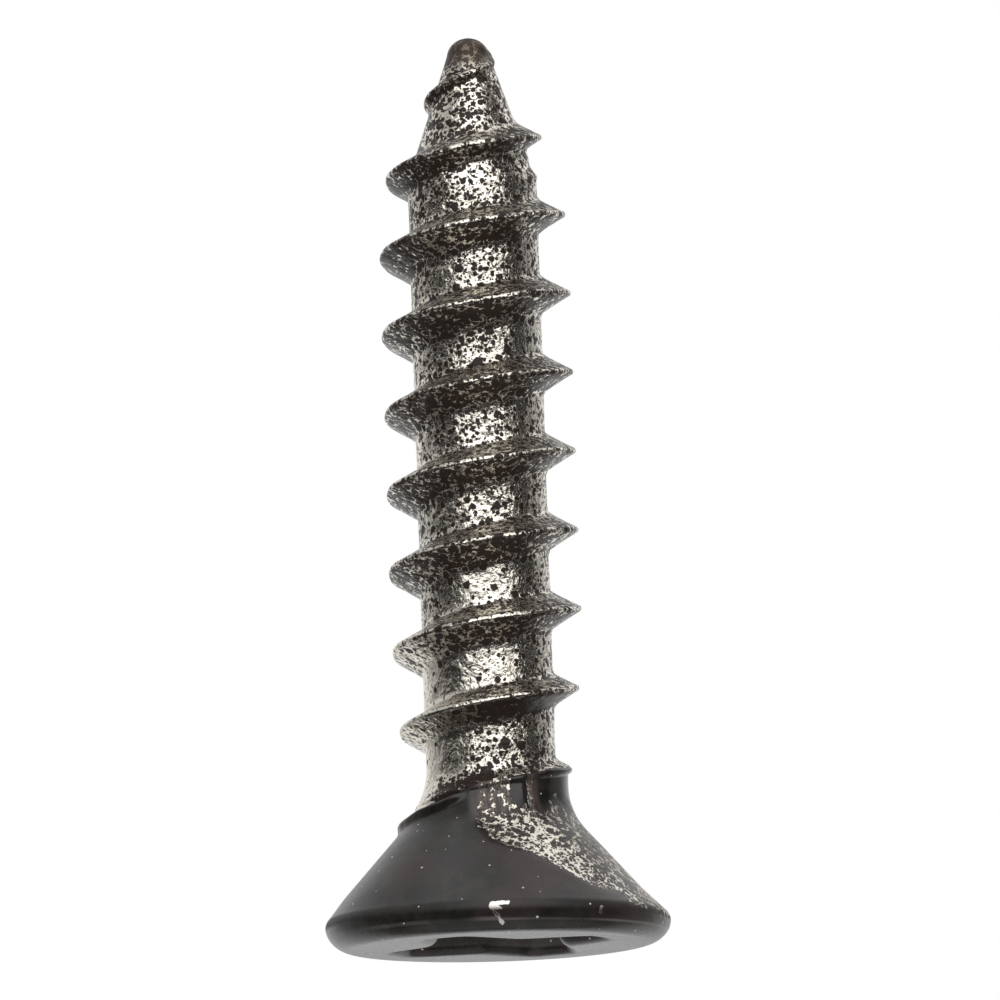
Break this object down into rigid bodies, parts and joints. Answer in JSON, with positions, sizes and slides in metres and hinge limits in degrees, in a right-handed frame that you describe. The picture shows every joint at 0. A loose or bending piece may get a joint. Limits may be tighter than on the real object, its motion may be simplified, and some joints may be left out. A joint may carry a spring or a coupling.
{
  "type": "wood screw",
  "caption": "Short countersunk wood screw with a coarse fully threaded shank, blunt point, cross recess and lacquered head.",
  "frame": {"origin": "centre of the flat lacquered head face, which the screw stands on", "axes": "+Z along the screw's axis, from the head towards the point; +X and +Y square to it, with +X through the crest of the thread's run-out at 3.84 mm"},
  "size_m": [0.0074, 0.0074, 0.02],
  "materials": {
    "plated_steel": "bright zinc plating, speckled with dark overspray",
    "black_lacquer": "satin charcoal-black lacquer, worn on one side of the cone"
  },
  "bodies": {
    "root": {"screw_body": "plated_steel", "head_lacquer": "black_lacquer"}
  },
  "joints": []
}
